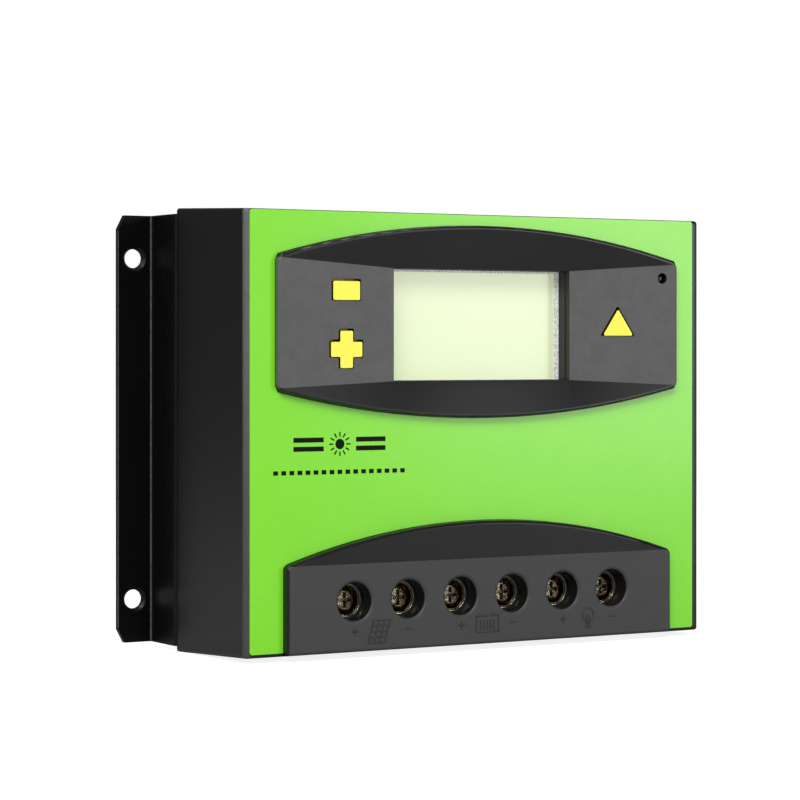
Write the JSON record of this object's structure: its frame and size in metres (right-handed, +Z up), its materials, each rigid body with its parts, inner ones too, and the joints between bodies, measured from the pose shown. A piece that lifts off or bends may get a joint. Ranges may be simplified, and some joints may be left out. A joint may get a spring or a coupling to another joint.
{
  "type": "solar charge controller",
  "caption": "Wall-mounted charge controller: finned heat sink with flanges, moulded cover with a display, push keys and a screw terminal block fed from below.",
  "frame": {"origin": "centre of the four mounting holes, on the wall face of the heat sink's flanges", "axes": "+X to the right when facing the unit, +Y into the wall, +Z up"},
  "size_m": [0.18, 0.0599, 0.1272],
  "materials": {
    "black_anodised": "black anodised, semi-gloss",
    "black_abs": "moulded, fine grain",
    "green_label": "glossy printed polyester film",
    "black_steel": "black oxide",
    "circuit_board": "green solder mask",
    "plated_steel": "zinc plated",
    "chip_black": "moulded epoxy",
    "grey_silicone": "matte",
    "capacitor_sleeve": "shrink sleeve",
    "fuse_plastic": "clear green",
    "copper": "bare copper alloy",
    "brass": "machined",
    "tinned_pins": "tinned",
    "display": "glass over a pale green reflective display",
    "light_guide": "milky acrylic",
    "lamp_lens": "clear epoxy",
    "black_nylon": "glass-filled nylon",
    "yellow_key": "satin",
    "nickel_plate": "nickel plated"
  },
  "bodies": {
    "root": {"heat_sink": "black_anodised", "front_cover": "black_abs", "front_label": "green_label", "cover_screws": "black_steel", "main_board": "circuit_board", "board_standoffs": "plated_steel", "board_screws": "plated_steel", "mosfets": "chip_black", "mosfet_pads": "grey_silicone", "mosfet_screws": "plated_steel", "capacitors": "capacitor_sleeve", "fuse_bases": "chip_black", "blade_fuses": "fuse_plastic", "current_shunts": "copper", "controller_chip": "chip_black", "driver_chips": "chip_black", "link_socket": "chip_black", "link_header": "tinned_pins", "display_board": "circuit_board", "display_screws": "plated_steel", "lcd_bezel": "black_abs", "lcd_glass": "display", "lcd_backlight": "light_guide", "lcd_pins": "tinned_pins", "status_lamp": "lamp_lens", "switch_bodies": "chip_black", "terminal_housing": "black_nylon", "terminal_nuts": "brass", "contact_bars": "copper"},
    "key_minus": {"key_minus": "yellow_key"},
    "switch_minus": {"switch_plunger_minus": "chip_black"},
    "key_plus": {"key_plus": "yellow_key"},
    "switch_plus": {"switch_plunger_plus": "chip_black"},
    "key_up": {"key_up": "yellow_key"},
    "switch_up": {"switch_plunger_up": "chip_black"},
    "clamp_1": {"clamp_plate_1": "nickel_plate"},
    "screw_1": {"terminal_screw_1": "nickel_plate"},
    "clamp_2": {"clamp_plate_2": "nickel_plate"},
    "screw_2": {"terminal_screw_2": "nickel_plate"},
    "clamp_3": {"clamp_plate_3": "nickel_plate"},
    "screw_3": {"terminal_screw_3": "nickel_plate"},
    "clamp_4": {"clamp_plate_4": "nickel_plate"},
    "screw_4": {"terminal_screw_4": "nickel_plate"},
    "clamp_5": {"clamp_plate_5": "nickel_plate"},
    "screw_5": {"terminal_screw_5": "nickel_plate"},
    "clamp_6": {"clamp_plate_6": "nickel_plate"},
    "screw_6": {"terminal_screw_6": "nickel_plate"}
  },
  "joints": [
    {"name": "key_minus_press", "type": "slide", "parent": "root", "child": "key_minus", "axis": [0, 1, 0], "range_m": [0, 0.0005], "stiffness_N_per_m": 2500, "springref_m": -0.0003},
    {"name": "switch_minus_press", "type": "slide", "parent": "root", "child": "switch_minus", "axis": [0, 1, 0], "range_m": [0, 0.0005]},
    {"name": "key_plus_press", "type": "slide", "parent": "root", "child": "key_plus", "axis": [0, 1, 0], "range_m": [0, 0.0005], "stiffness_N_per_m": 2500, "springref_m": -0.0003},
    {"name": "switch_plus_press", "type": "slide", "parent": "root", "child": "switch_plus", "axis": [0, 1, 0], "range_m": [0, 0.0005]},
    {"name": "key_up_press", "type": "slide", "parent": "root", "child": "key_up", "axis": [0, 1, 0], "range_m": [0, 0.0005], "stiffness_N_per_m": 2500, "springref_m": -0.0003},
    {"name": "switch_up_press", "type": "slide", "parent": "root", "child": "switch_up", "axis": [0, 1, 0], "range_m": [0, 0.0005]},
    {"name": "clamp_1_slide", "type": "slide", "parent": "root", "child": "clamp_1", "axis": [0, 1, 0], "range_m": [0, 0.004]},
    {"name": "screw_1_turn", "type": "hinge", "parent": "clamp_1", "child": "screw_1", "pos_m": [-0.04387, 0, -0.0476], "axis": [0, 1, 0], "range_deg": [0, 1800]},
    {"name": "clamp_2_slide", "type": "slide", "parent": "root", "child": "clamp_2", "axis": [0, 1, 0], "range_m": [0, 0.004]},
    {"name": "screw_2_turn", "type": "hinge", "parent": "clamp_2", "child": "screw_2", "pos_m": [-0.02633, 0, -0.0476], "axis": [0, 1, 0], "range_deg": [0, 1800]},
    {"name": "clamp_3_slide", "type": "slide", "parent": "root", "child": "clamp_3", "axis": [0, 1, 0], "range_m": [0, 0.004]},
    {"name": "screw_3_turn", "type": "hinge", "parent": "clamp_3", "child": "screw_3", "pos_m": [-0.00877, 0, -0.0476], "axis": [0, 1, 0], "range_deg": [0, 1800]},
    {"name": "clamp_4_slide", "type": "slide", "parent": "root", "child": "clamp_4", "axis": [0, 1, 0], "range_m": [0, 0.004]},
    {"name": "screw_4_turn", "type": "hinge", "parent": "clamp_4", "child": "screw_4", "pos_m": [0.00877, 0, -0.0476], "axis": [0, 1, 0], "range_deg": [0, 1800]},
    {"name": "clamp_5_slide", "type": "slide", "parent": "root", "child": "clamp_5", "axis": [0, 1, 0], "range_m": [0, 0.004]},
    {"name": "screw_5_turn", "type": "hinge", "parent": "clamp_5", "child": "screw_5", "pos_m": [0.02633, 0, -0.0476], "axis": [0, 1, 0], "range_deg": [0, 1800]},
    {"name": "clamp_6_slide", "type": "slide", "parent": "root", "child": "clamp_6", "axis": [0, 1, 0], "range_m": [0, 0.004]},
    {"name": "screw_6_turn", "type": "hinge", "parent": "clamp_6", "child": "screw_6", "pos_m": [0.04387, 0, -0.0476], "axis": [0, 1, 0], "range_deg": [0, 1800]}
  ],
  "couplings": [
    {"joint": "switch_minus_press", "follows": "key_minus_press", "ratio": 1},
    {"joint": "switch_plus_press", "follows": "key_plus_press", "ratio": 1},
    {"joint": "switch_up_press", "follows": "key_up_press", "ratio": 1},
    {"joint": "screw_1_turn", "follows": "clamp_1_slide", "rad_per_m": 7854},
    {"joint": "screw_2_turn", "follows": "clamp_2_slide", "rad_per_m": 7854},
    {"joint": "screw_3_turn", "follows": "clamp_3_slide", "rad_per_m": 7854},
    {"joint": "screw_4_turn", "follows": "clamp_4_slide", "rad_per_m": 7854},
    {"joint": "screw_5_turn", "follows": "clamp_5_slide", "rad_per_m": 7854},
    {"joint": "screw_6_turn", "follows": "clamp_6_slide", "rad_per_m": 7854}
  ]
}
